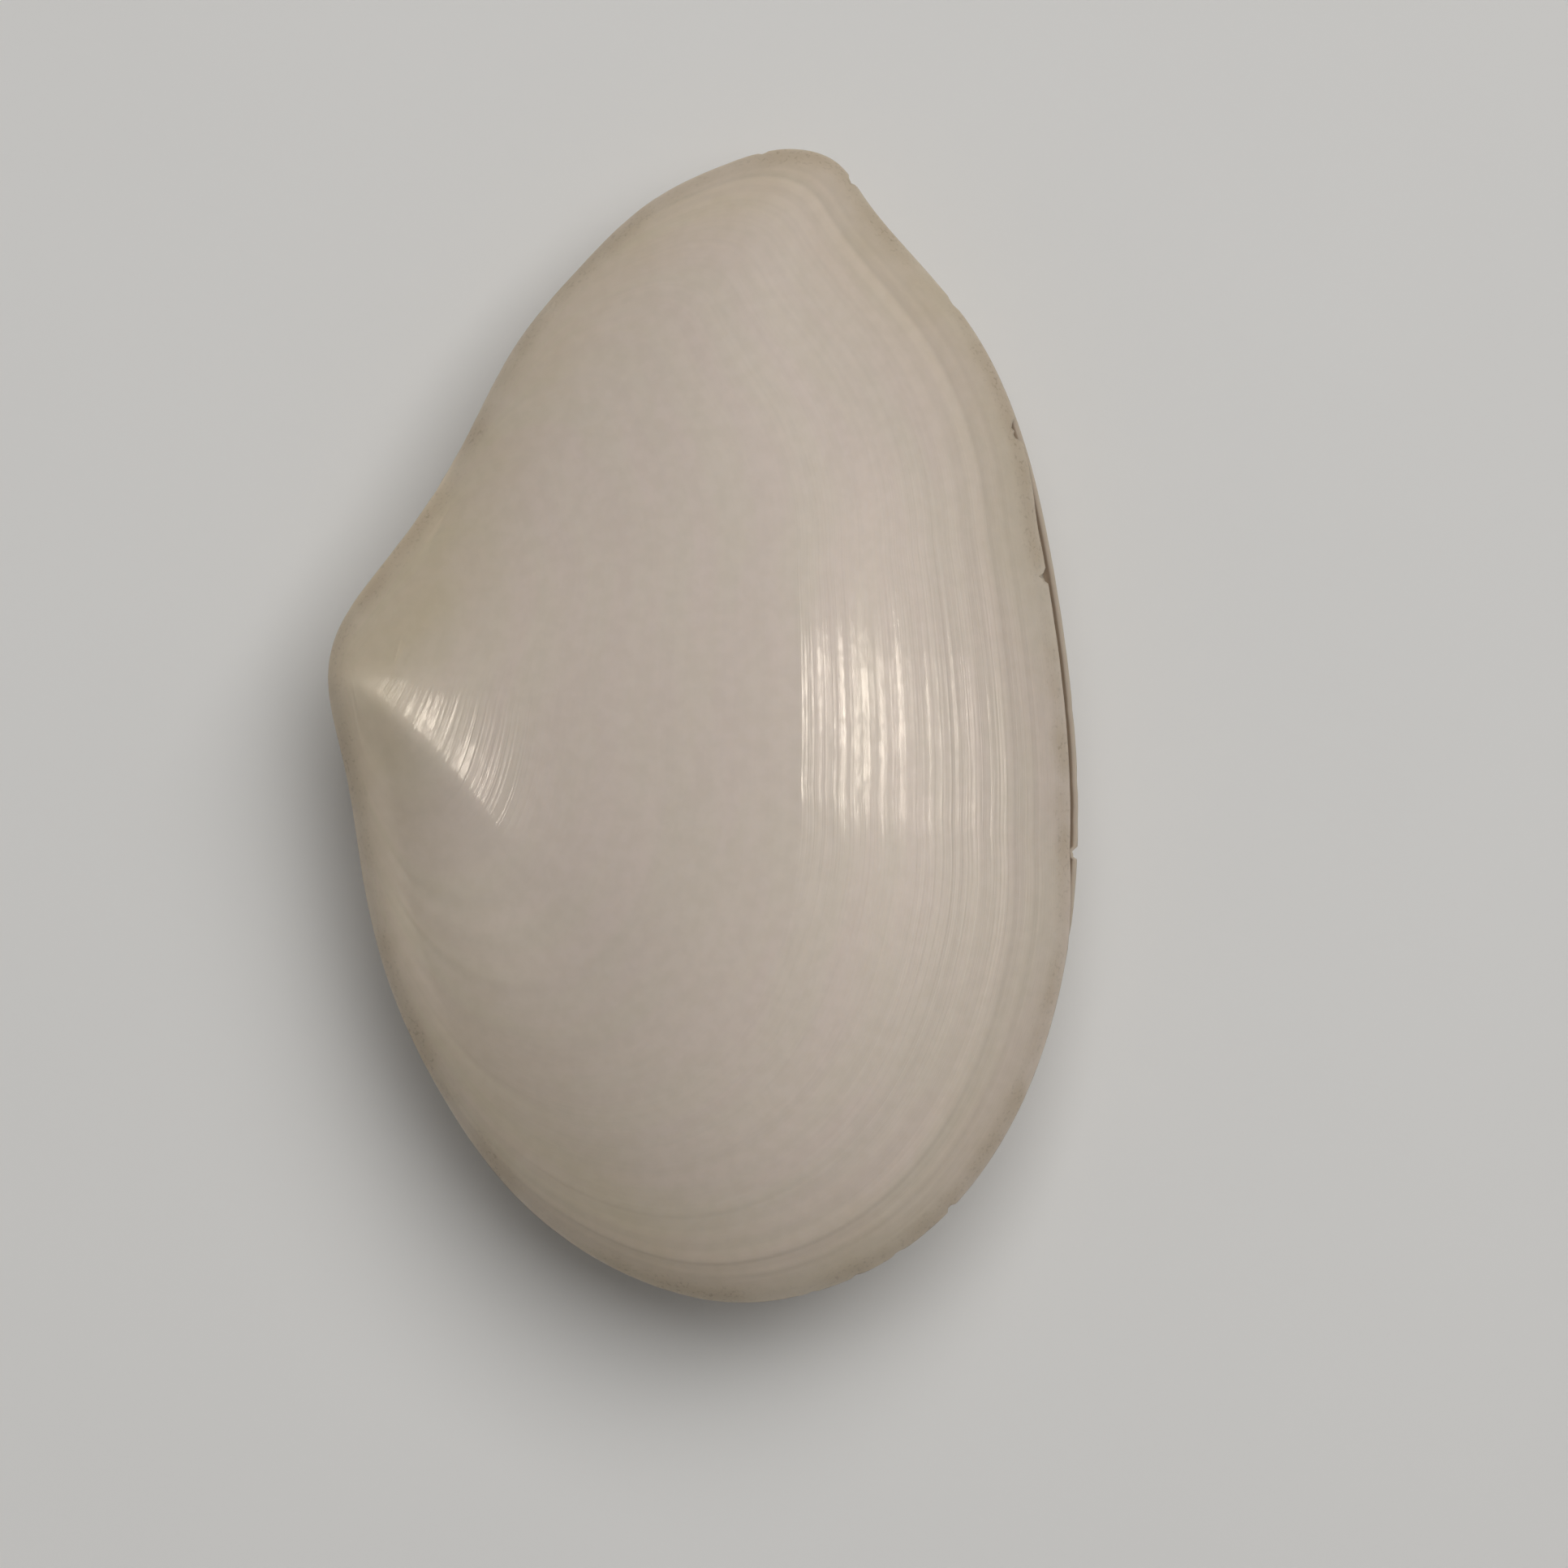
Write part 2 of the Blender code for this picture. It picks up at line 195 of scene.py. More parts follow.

# Tone: random waves along the growth lines, a darker last band, painted shade on the anterior flank, a paler
# side and a painted light line along the very edge
TONE_WAVES = 0.012
LAST_BAND_FROM = 28.55
LAST_BAND_SHADE = 0.065
# Painted shade on the anterior flank, which faces away from the key light
FLANK_ANGLE = math.radians(-76.0)
FLANK_SPREAD = math.radians(22.0)
FLANK_SHADE = 0.08
PALE_SIDE_ANGLE = math.radians(-45.0)
PALE_SIDE_SPREAD = math.radians(20.0)
PALE_SIDE_SHADE = 0.09
# Painted light line along the very edge of the margin
PAINTED_EDGE_LIGHT = 0.14

# Yellowish places: the beak, the margin, the anterior flank, and stains by X, Y, radius and strength
YELLOW_BEAK = (1.2, 1.5)
YELLOW_BEAK_RADIUS = 5.5
YELLOW_BEAK_STRENGTH = 0.85
YELLOW_MARGIN_WIDTH = 3.2
YELLOW_MARGIN_STRENGTH = 0.8
YELLOW_VENTRAL_LOSS = 0.75
YELLOW_VENTRAL_SPREAD = 0.55
YELLOW_FLANK_STRENGTH = 0.4
STAINS = [(25.8, 15.6, 1.3, 0.4), (12.3, -25.3, 2.2, 0.6)]

# Main ridges of the ventral band: distance along the growth axis, height and width
RIDGES = [
    (19.42, 0.014, 0.17),
    (19.86, 0.012, 0.15),
    (21.02, 0.013, 0.24),
    (22.50, 0.009, 0.13),
    (23.28, 0.013, 0.14),
    (24.42, 0.010, 0.14),
    (25.50, 0.012, 0.15),
    (26.40, 0.010, 0.12),
    (27.20, 0.010, 0.14),
    (28.30, 0.012, 0.10),
    (29.50, 0.012, 0.10),
    (29.95, 0.014, 0.09),
]

# Small ridges between the main ones
RIDGED_FROM = 19.25
RIDGE_SPACING = (0.2, 0.42)
RIDGE_HEIGHT = 0.009
RIDGE_WIDTH = 0.08

# How high a ridge is along its length: a mean, with waves round the shell added to it
RIDGE_MEAN = 0.65
RIDGE_WOBBLE = 0.2
RIDGE_WOBBLES = (19, 43)

# Ridges and fine lines fade away from the growth axis, over an angle in radians, to a least share
RELIEF_SPREAD = 0.5
STRIAE_SPREAD = 0.55
LEAST_RELIEF = 0.15

# Low waves across the growth lines
UNDULATION = 0.004
UNDULATION_PERIODS = (1.2, 3.6)

# Between two halts the ventral side grew straighter, so that a soft corner marks each of them
STRAIGHT_FROM = 19.3
STRAIGHT_TO = 28.8
STRAIGHT_DEPTH = 0.16
STRAIGHT_MIDDLE = math.radians(-9.0)
STRAIGHT_SPREAD = math.radians(30.0)

# The umbonal fold runs from the beak to the anterior end, ever softer. The shell is lower on its dorsal side
FOLD_START = (0.25, 0.0)
FOLD_ANGLE = math.radians(-44.0)
FOLD_SLOPE = 0.22
FOLD_ROUNDING = 0.15
FOLD_SOFTENING = 0.06
FOLD_WIDTH = 4.0
FOLD_LENGTH = 24.0


def closed_spline(points, samples_per_span=30):
    """Dense points on the closed curve of continuous curvature through the given points."""
    knots = np.asarray(points, float)
    count = len(knots)
    span = np.linalg.norm(np.roll(knots, -1, 0) - knots, axis=1)
    system = np.zeros((count, count))
    right = np.zeros((count, 2))
    for i in range(count):
        before, after = i - 1, (i + 1) % count
        system[i, before] += span[before]
        system[i, i] += 2 * (span[before] + span[i])
        system[i, after] += span[i]
        right[i] = 6 * ((knots[after] - knots[i]) / span[i] - (knots[i] - knots[before]) / span[before])
    bend = np.linalg.solve(system, right)
    pieces = []
    for i in range(count):
        after = (i + 1) % count
        done = np.linspace(0, span[i], samples_per_span, endpoint=False)[:, None]
        left = span[i] - done
        pieces.append(
            (bend[i] * left**3 + bend[after] * done**3) / (6 * span[i])
            + (knots[i] / span[i] - bend[i] * span[i] / 6) * left
            + (knots[after] / span[i] - bend[after] * span[i] / 6) * done
        )
    return np.concatenate(pieces)


def smooth_step(value):
    value = np.clip(value, 0, 1)
    return value * value * (3 - 2 * value)


def bump(value):
    """1 at 0, falling smoothly to 0 at -1 and 1."""
    return np.where(np.abs(value) < 1, np.cos(np.clip(value, -1, 1) * math.pi / 2) ** 2, 0)


def bell(value):
    return np.exp(-(value**2))


def outward(curve):
    """Unit normals of a closed curve that runs clockwise seen from +Z."""
    along = np.roll(curve, -1, 0) - np.roll(curve, 1, 0)
    normal = np.stack([-along[:, 1], along[:, 0]], axis=1)
    return normal / np.linalg.norm(normal, axis=1)[:, None]


def step_share(curve):
    """How fully the right valve's margin shows past the left one's at each point of an outline."""
    along = (curve[:, 1] - VENTRAL_STEP_MIDDLE) / VENTRAL_STEP_HALF_LENGTH
    return np.minimum(1, VENTRAL_STEP_RISE * bump(along)) * (curve[:, 0] > VENTRAL_SIDE)


def right_outline():
    return closed_spline(OUTLINE)


def left_outline():
    curve = right_outline()
    return curve - outward(curve) * (VENTRAL_STEP * step_share(curve))[:, None]


def meeting_height(points):
    """Height of the surface in which the valves meet."""
    return -FLEXURE * smooth_step((points[:, 1] - FLEXURE_START) / FLEXURE_LENGTH)


def slot_height(points):
    """Half the height of the gap between the valves, which opens into a slot along the ligament."""
    middle = (SLOT_START + SLOT_END) / 2
    half_length = (SLOT_END - SLOT_START) / 2
    opening = np.sqrt(bump((points[:, 1] - middle) / half_length)) * (points[:, 0] < DORSAL_SIDE)
    return VISIBLE_GAP / 2 + opening * (SLOT_HALF_HEIGHT - VISIBLE_GAP / 2)


def wall_thickness(points):
    across = np.clip(points[:, 0] / WALL_THINS_OVER, 0, 1)
    return WALL_AT_HINGE + (WALL_AT_MARGIN - WALL_AT_HINGE) * across


def off_axis(angle, axis=GROWTH_AXIS):
    return (angle - axis + math.pi) % (2 * math.pi) - math.pi


def growth_power(angle, share=1.0):
    """1 where the shell grows fastest. A share of the way to the margin tells how far the axis has turned."""
    axis = GROWTH_AXIS + EARLY_TURN * np.exp(-share / TURN_LASTS)
    return SLOWEST_GROWTH + (1 - SLOWEST_GROWTH) * bell(off_axis(angle, axis) / GROWTH_SPREAD)


def growth_share(power, age):
    """How far out from the growth centre a growth line lies, as a share of the way to the margin."""
    start = EARLY_GROWTH**power
    return ((age + EARLY_GROWTH) ** power - start) / ((1 + EARLY_GROWTH) ** power - start)


def age_at(power, share):
    """The age at which growth reached a share of the way to the margin."""
    start = EARLY_GROWTH**power
    return (share * ((1 + EARLY_GROWTH) ** power - start) + start) ** (1 / power) - EARLY_GROWTH


def random_waves(growth, angle, shortest, longest, seed, count=14):
    """An even mix of waves across the growth lines, about one unit high, which drift a little along them."""
    rng = np.random.default_rng(seed)
    total = np.zeros_like(growth)
    for _ in range(count):
        period = shortest * (longest / shortest) ** rng.random()
        phase = rng.uniform(0, 2 * math.pi)
        turns = rng.integers(1, 4)
        drift = rng.uniform(0.2, 1.0) * np.sin(angle * turns + rng.uniform(0, 2 * math.pi))
        total += np.cos(2 * math.pi * growth / period + phase + drift)
    return total / math.sqrt(count)


class Margin:
    """Points spaced round one valve's margin, closer at bends and chips, with what changes along it."""

    def __init__(self, curve, chips, seed):
        step = np.linalg.norm(np.roll(curve, -1, 0) - curve, axis=1)
        normal = outward(curve)
        turn = np.arccos(np.clip((normal * np.roll(normal, -1, 0)).sum(1), -1, 1))
        cost = step / step.sum() + turn / BEND_COARSENESS
        for x, y, length, depth in chips:
            near = bump(np.linalg.norm(curve - [x, y], axis=1) / length)
            cost = cost + CHIP_FINENESS * depth * step * near
        travelled = np.concatenate([[0], np.cumsum(cost)])
        wanted = np.linspace(0, travelled[-1], STATIONS, endpoint=False)
        index = np.interp(wanted, travelled, np.arange(len(travelled)))
        self.points = self.sampled(curve, index)
        self.normals = self.sampled(normal, index)
        self.normals /= np.linalg.norm(self.normals, axis=1)[:, None]
        arm = self.points - np.array(UMBO)
        self.angle = np.arctan2(arm[:, 1], arm[:, 0])
        self.power = growth_power(self.angle)
        self.chipped = np.zeros(STATIONS)
        across, along = self.points.T
        ragged = 1 + CHIP_RAGGEDNESS * random_waves(along, self.angle, *CHIP_RAGGED_PERIODS, seed)
        for x, y, length, depth in chips:
            away = np.linalg.norm(self.points - [x, y], axis=1)
            self.chipped += depth * np.minimum(1, CHIP_STEEPNESS * bump(away / (length / 2))) * ragged
        wear = random_waves(along + across, self.angle, *WEAR_PERIODS, seed + 1)
        self.at_beak = bump((along - BEAK_MIDDLE) / BEAK_HALF_LENGTH) * (across < CONE_WIDTH)
        worn = WEAR * np.clip(wear - WEAR_THRESHOLD, 0, 1)
        self.chipped += worn * (1 - self.at_beak) * (across > WORN_FROM)
        self.slot = slot_height(self.points)
        self.lip = step_share(self.points)

    @staticmethod
    def sampled(values, index):
        closed = np.vstack([values, values[:1]])
        places = np.arange(len(closed))
        return np.stack([np.interp(index, places, closed[:, k]) for k in (0, 1)], axis=1)

    def inset(self, depth):
        return self.points - self.normals * np.broadcast_to(depth, STATIONS)[:, None]


class Dome:
    """The outer surface of one valve, as a height over the plane in which the valves meet."""

    def __init__(self, curve):
        self.curve = curve
        away = (curve[:, 0] > CONE_WIDTH) | (curve[:, 1] < -CONE_ANTERIOR_REACH)
        start = np.flatnonzero(away & ~np.roll(away, 1))[0]
        kept = np.roll(curve, -start, 0)[: away.sum()]
        tip = np.array(CONE_TIP)
        straight = np.linspace(0, 1, CONE_SIDE_POINTS, endpoint=False)[:, None]
        to_tip = kept[-1] + straight * (tip - kept[-1])
        from_tip = tip + straight * (kept[0] - tip)
        self.rim = np.concatenate([kept, to_tip, from_tip])
        gap = np.linalg.norm(np.roll(self.rim, -1, 0) - self.rim, axis=1)
        slope = DORSAL_SLOPE + (VENTRAL_SLOPE - DORSAL_SLOPE) * smooth_step(self.rim[:, 0] / SLOPE_CHANGE)
        self.weight = (gap + np.roll(gap, 1)) / 2 / slope**2
        across = np.linspace(HOLLOW_MIDDLE[0] - SUMMIT_REACH, HOLLOW_MIDDLE[0] + SUMMIT_REACH, SUMMIT_SAMPLES)
        self.tallest = self.blend(np.stack([across, np.full(SUMMIT_SAMPLES, SUMMIT_Y)], axis=1)).max()

    def to_edge(self, points):
        return np.linalg.norm(points[:, None] - self.curve[None], axis=2).min(1)

    def blend(self, points):
        """Rises from each part of the margin at that part's slope, and passes smoothly between them."""
        distance = np.linalg.norm(points[:, None] - self.rim[None], axis=2)
        return np.sqrt(2 / (self.weight / np.maximum(distance, LEAST_DISTANCE) ** 3).sum(1))

    def height(self, points):
        share = self.blend(points) / self.tallest
        full = share * (1 + FULLNESS * (1 - share))
        inside = np.minimum(self.to_edge(points) / EDGE_WIDTH, 1)
        return (VALVE_DEPTH - EDGE_HEIGHT) * full + EDGE_HEIGHT * np.sqrt(1 - (1 - inside) ** 2)

    def slope_stretch(self, points, nudge=0.01):
        """How much thicker a sloping wall is when measured straight up."""
        here = self.height(points)
        along_x = (self.height(points + [nudge, 0]) - here) / nudge
        along_y = (self.height(points + [0, nudge]) - here) / nudge
        return np.minimum(np.sqrt(1 + along_x**2 + along_y**2), MOST_STRETCH)


class Surface:
    """Rings of points, from the umbo to the middle of the hollow, with what each point's material needs."""

    MASKS = ("growth", "striae", "yellow", "tone", "rim", "broken", "crevice", "inside")

    def __init__(self):
        self.places = []
        self.masks = {name: [] for name in self.MASKS}

    def add(self, plan, height, **masks):
        self.places.append(np.column_stack([plan, height]))
        for name in self.MASKS:
            self.masks[name].append(np.broadcast_to(masks.get(name, 0.0), len(plan)))

    def mesh(self, name):
        """A closed mesh: the rings joined one to the next, with the first and last closed by a point."""
        vertices = np.concatenate(self.places)
        ring_count = (len(vertices) - 2) // STATIONS
        rings = 1 + np.arange(ring_count * STATIONS).reshape(ring_count, STATIONS)
        after = np.roll(rings, -1, 1)
        quads = np.stack([rings[:-1], after[:-1], after[1:], rings[1:]], axis=2).reshape(-1, 4)
        last = len(vertices) - 1
        caps = [(0, after[0, i], rings[0, i]) for i in range(STATIONS)]
        caps += [(last, rings[-1, i], after[-1, i]) for i in range(STATIONS)]
        made = bpy.data.meshes.new(name)
        made.from_pydata(vertices, [], quads.tolist() + caps)
        made.shade_smooth()
        for mask in self.MASKS:
            layer = made.attributes.new(mask, "FLOAT", "POINT")
            layer.data.foreach_set("value", np.concatenate(self.masks[mask]).astype(np.float32))
        return made


def ridge_places(seed):
    """The main ridges, and small ones scattered between them."""
    rng = np.random.default_rng(seed)
    places = list(RIDGES)
    at = RIDGED_FROM
    while at < GROWTH_LENGTH:
        at += rng.uniform(*RIDGE_SPACING)
        places.append((at, RIDGE_HEIGHT * rng.uniform(0.3, 1.0), RIDGE_WIDTH))
    return places


def ventral_share(angle, spread):
    """How strong the growth lines are: 1 on the growth axis, and least on the dorsal side."""
    return LEAST_RELIEF + (1 - LEAST_RELIEF) * bell(off_axis(angle) / spread)


def growth_relief(growth, angle, spread, seed):
    """Height of the growth ridges and halts over the smooth dome, in millimetres."""
    rng = np.random.default_rng(seed)
    ventral = ventral_share(angle, RELIEF_SPREAD)
    relief = UNDULATION * random_waves(growth, angle, *UNDULATION_PERIODS, seed + 1)
    for at, height, width in ridge_places(seed):
        along = RIDGE_MEAN
        for turns, phase in zip(RIDGE_WOBBLES, rng.uniform(0, 2 * math.pi, 2)):
            along = along + RIDGE_WOBBLE * np.sin(turns * angle + phase)
        relief += height * ventral * along * bell((growth - at) / width)
    for at, depth, width, step, _ in HALTS:
        past = growth - at
        relief -= depth * bell(past / width)
        relief -= step * smooth_step(0.5 + past / (2 * width)) * np.exp(-np.maximum(past, 0) / HALT_RECOVERY)
    middle = (STRAIGHT_FROM + STRAIGHT_TO) / 2
    half = (STRAIGHT_TO - STRAIGHT_FROM) / 2
    between = np.clip((growth - middle) / half, -1, 1)
    relief -= STRAIGHT_DEPTH * (1 - between**2) * bell((angle - STRAIGHT_MIDDLE) / STRAIGHT_SPREAD)
    return relief * np.minimum(spread, 1)


def anterior_flank(inset, angle):
    """1 on the flank that falls from the beak towards the anterior end, and 0 at its margin."""
    return bell(off_axis(angle, FLANK_ANGLE) / FLANK_SPREAD) * smooth_step(inset / 5.0)


def growth_tone_and_shade(growth, angle, spread, inset, seed):
    """How much lighter or darker the growth lines, flank, pale side and margin are, as a share of tone, with
    painted light and shade at the halts, on the flank and along the very edge.
    """
    tone = TONE_WAVES * smooth_step((growth - 12) / 12) * random_waves(growth, angle, 0.35, 1.8, seed)
    # Painted light on the band before each halt and painted shade in its groove
    for at, _, width, _, halt_shading in HALTS:
        past = growth - at
        tone += halt_shading * (bell((past + PALE_BAND) / 0.22) - bell(past / (1.2 * width)))
    beside_axis = 1 - 0.5 * bell(off_axis(angle) / 0.4)
    tone -= LAST_BAND_SHADE * beside_axis * smooth_step((growth - LAST_BAND_FROM) / 0.25)
    tone *= np.minimum(1.4 * spread, 1)
    pale_side = bell(off_axis(angle, PALE_SIDE_ANGLE) / PALE_SIDE_SPREAD)
    tone += PALE_SIDE_SHADE * pale_side * smooth_step((growth - 14) / 10)
    # Painted light line along the very edge, and painted shade on the anterior flank
    return tone + PAINTED_EDGE_LIGHT * bell(inset / 0.1) - FLANK_SHADE * anterior_flank(inset, angle)


class Growth:
    """Growth lines: each is a past margin of the shell, which spread from a point close behind the beak."""

    def __init__(self, curve):
        arm = curve - np.array(GROWTH_START)
        angle = np.arctan2(arm[:, 1], arm[:, 0])
        order = np.argsort(angle)
        self.angles = angle[order]
        self.reaches = np.linalg.norm(arm, axis=1)[order]

    def at(self, plan):
        """Each point's growth distance and angle, and how far apart the lines lie, about 1 on the axis."""
        arm = plan - np.array(GROWTH_START)
        angle = np.arctan2(arm[:, 1], arm[:, 0])
        reach = np.interp(angle, self.angles, self.reaches, period=2 * math.pi)
        share = np.minimum(np.linalg.norm(arm, axis=1) / reach, 1.05)
        power = growth_power(angle, share)
        age = age_at(power, share)
        full = (1 + EARLY_GROWTH) ** power - EARLY_GROWTH**power
        pace = power * (age + EARLY_GROWTH) ** (power - 1) / full
        return age * GROWTH_LENGTH, angle, reach / GROWTH_LENGTH * pace

    def rings(self, centre, margin):
        """Rings from the centre to the margin, along the growth lines on all but the dorsal side."""
        shares = np.linspace(0, 1, RING_SAMPLES)
        out = margin.inset(RIM_INSET) - centre
        path = centre + out[:, None] * shares[None, :, None]
        growth = self.at(path.reshape(-1, 2))[0].reshape(STATIONS, -1)
        growth = np.maximum.accumulate(growth, axis=1)
        ventral = 1 - smooth_step((np.abs(off_axis(margin.angle)) - ALIGNED_WITHIN) / ALIGNED_FADE)
        ages = [np.linspace(start, end, count, endpoint=False) for start, end, count in RING_AGES]
        for age in np.append(np.concatenate(ages), 1.0):
            wanted = growth[:, 0] + (growth[:, -1] - growth[:, 0]) * age
            aligned = np.array([np.interp(value, line, shares) for value, line in zip(wanted, growth)])
            share = growth_share(margin.power, age) * (1 - ventral) + aligned * ventral
            yield centre + out * share[:, None]


def striae_mask(growth, angle, spread):
    """Where the fine lines are strong: the ventral band and the umbo, with a smooth zone between them."""
    band = smooth_step((growth - RIDGED_FROM) / 0.25) * ventral_share(angle, STRIAE_SPREAD)
    umbo = 1.8 * bump((growth - 4.8) / 5.6) * bell((off_axis(angle) + 0.25) / 0.3)
    return np.minimum(0.02 + band + umbo, 1.5) * np.minimum(spread, 1) ** 2


def yellow_mask(plan, inset, angle):
    """Where the shell is yellowish. The band along the margin is weakest on the ventral side."""
    side = 1 - YELLOW_VENTRAL_LOSS * bell(off_axis(angle) / YELLOW_VENTRAL_SPREAD)
    from_beak = np.linalg.norm(plan - YELLOW_BEAK, axis=1)
    yellow = YELLOW_BEAK_STRENGTH * bell(from_beak / YELLOW_BEAK_RADIUS)
    along_margin = YELLOW_MARGIN_STRENGTH * side * bell(inset / YELLOW_MARGIN_WIDTH)
    yellow += along_margin + YELLOW_FLANK_STRENGTH * anterior_flank(inset, angle)
    for x, y, radius, strength in STAINS:
        yellow += strength * bell(np.linalg.norm(plan - [x, y], axis=1) / radius)
    return np.clip(yellow, 0, 1)


def umbonal_fold(plan):
    """Depth to which the shell falls away on the dorsal side of the umbonal fold."""
    arm = plan - np.array(FOLD_START)
    along = arm[:, 0] * math.cos(FOLD_ANGLE) + arm[:, 1] * math.sin(FOLD_ANGLE)
    across = arm[:, 1] * math.cos(FOLD_ANGLE) - arm[:, 0] * math.sin(FOLD_ANGLE)
    rounding = FOLD_ROUNDING + FOLD_SOFTENING * np.maximum(along, 0)
    past = (np.sqrt(across**2 + rounding**2) - across) / 2
    strength = smooth_step(along / 3.0) * (1 - smooth_step(2 * along / FOLD_LENGTH - 1))
    return FOLD_SLOPE * strength * past * np.exp(-past / FOLD_WIDTH)


def add_outside(surface, margin, dome, side, seed):
    """The outer surface, from the umbo to the edge of the margin."""
    centre = np.array(UMBO)
    lines = Growth(dome.curve)

    def add_ring(plan, broken=0.0):
        inset = dome.to_edge(plan)
        growth, angle, spread = lines.at(plan)
        fade = smooth_step(inset / 0.5)
        relief = growth_relief(growth, angle, spread, seed) * fade
        relief -= umbonal_fold(plan) * smooth_step(inset / 2.0)
        lip = (margin.slot + LIP_SLOPE * inset) * (margin.slot > VISIBLE_GAP)
        height = np.maximum(dome.height(plan) + VALVE_GAP / 2 + relief, lip[: len(plan)])
        surface.add(
            plan,
            meeting_height(plan) + side * height,
            growth=growth,
            striae=striae_mask(growth, angle, spread) * fade,
            yellow=yellow_mask(plan, inset, angle),
            tone=growth_tone_and_shade(growth, angle, spread, inset, seed),
            # The tan rim band: partly the margin's colour, partly painted shade along the edge
            rim=bell((inset - 0.3) / 0.4),
            broken=broken,
        )

    add_ring(centre[None])
    for ring in lines.rings(centre, margin):
        add_ring(ring)
    for inset in EDGE_INSETS:
        depth = np.maximum(inset, margin.chipped + 0.3 * inset)
        near_chip = smooth_step((margin.chipped - 0.1) / 0.08) * (depth < margin.chipped + 0.06)
        add_ring(margin.inset(depth), near_chip)


def add_edge(surface, margin, side):
    """The edge where the valves meet. The right valve's drops behind a lip, where a dark line of painted
    shade shows.
    """
    edge = margin.chipped + BEAK_OVERHANG * margin.at_beak
    lip = margin.lip if side < 0 else np.zeros(STATIONS)
    plan = margin.inset(edge)
    surface.add(plan, meeting_height(plan) + side * margin.slot, broken=0.5, yellow=0.5, growth=GROWTH_LENGTH)
    for inset in LIP_INSETS:
        plan = margin.inset(edge + inset)
        drop = 0.1 * lip * smooth_step((inset - 0.16) / 0.14)
        # Painted shade down in the crevice behind the lip
        dark = smooth_step((inset - 0.16) / 0.1)
        surface.add(plan, meeting_height(plan) + side * (margin.slot + drop), broken=0.7, crevice=dark)


def hollow_height(dome, points):
    thickness = wall_thickness(points) * dome.slope_stretch(points)
    outer = dome.height(points)
    return outer - thickness * np.tanh(outer / thickness)


def add_hollow(surface, margin, dome, side):
    """The inner surface, from the flat edge of the margin in to the middle."""
    at_hinge = bell((margin.points[:, 1] - HINGE_MIDDLE) / HINGE_HALF_LENGTH)
    at_hinge *= margin.points[:, 0] < DORSAL_SIDE
    inner_margin = margin.inset(MARGIN_WIDTH + (HINGE_PLATE_WIDTH - MARGIN_WIDTH) * at_hinge + margin.chipped)
    middle = np.array(HOLLOW_MIDDLE)
    for share in INNER_RINGS:
        plan = middle + (inner_margin - middle) * share
        edge = share**16
        height = hollow_height(dome, plan) * (1 - edge) + VALVE_GAP / 2 * (1 - edge) + margin.slot * edge
        surface.add(plan, meeting_height(plan) + side * height, inside=1.0)
    ceiling = hollow_height(dome, middle[None]) + VALVE_GAP / 2
    surface.add(middle[None], meeting_height(middle[None]) + side * ceiling, inside=1.0)


def valve_mesh(name, curve, side, chips, seed):
    """One hollow valve. side is 1 for the left valve, over the meeting plane, and -1 for the right one."""
    dome = Dome(curve)
    margin = Margin(curve, chips, seed)
    surface = Surface()
    add_outside(surface, margin, dome, side, seed)
    add_edge(surface, margin, side)
    add_hollow(surface, margin, dome, side)
    made = surface.mesh(name)
    if side < 0:
        made.flip_normals()
    return made


def ligament_mesh(name):
    """A fibrous spindle that fills the slot between the valves behind the beaks."""
    curve = right_outline()
    held = (curve[:, 0] < DORSAL_SIDE) & (curve[:, 1] > SLOT_START) & (curve[:, 1] < SLOT_END)
    out = outward(curve)[held]
    half_thick = slot_height(curve[held]) - VISIBLE_GAP / 2 - LIGAMENT_CLEARANCE
    path = curve[held] - out * LIGAMENT_INSET
    usable = np.flatnonzero(half_thick > LIGAMENT_THINNEST)
    places = np.linspace(usable[0], usable[-1], LIGAMENT_SECTIONS)
    turns = np.linspace(0, 2 * math.pi, LIGAMENT_SIDES, endpoint=False)
    fibres = 1 + 0.05 * random_waves(turns * 0.3, turns, 0.08, 0.3, LIGAMENT_SEED)
    steps = np.arange(len(path))
    rings = []
    for place in places:
        centre = np.array([np.interp(place, steps, path[:, k]) for k in (0, 1)])
        away = np.array([np.interp(place, steps, out[:, k]) for k in (0, 1)])
        half = np.interp(place, steps, half_thick)
        fullness = half / half_thick.max()
        deep = LIGAMENT_HALF_DEPTH * (0.35 + 0.65 * fullness) * fibres
        plan = centre + away * (deep * np.cos(turns))[:, None]
        crossbands = 1 - 0.03 * (1 + math.sin(place * 0.9)) * fullness
        height = meeting_height(plan) + half * crossbands * fibres * np.sin(turns)
        rings.append(np.column_stack([plan, height]))
    vertices = np.concatenate(rings)
    index = np.arange(len(vertices)).reshape(LIGAMENT_SECTIONS, LIGAMENT_SIDES)
    after = np.roll(index, -1, 1)
    faces = np.stack([index[:-1], index[1:], after[1:], after[:-1]], axis=2).reshape(-1, 4).tolist()
    faces += [tuple(index[0].tolist()), tuple(index[-1, ::-1].tolist())]
    made = bpy.data.meshes.new(name)
    made.from_pydata(vertices, [], faces)
    made.shade_smooth()
    return made


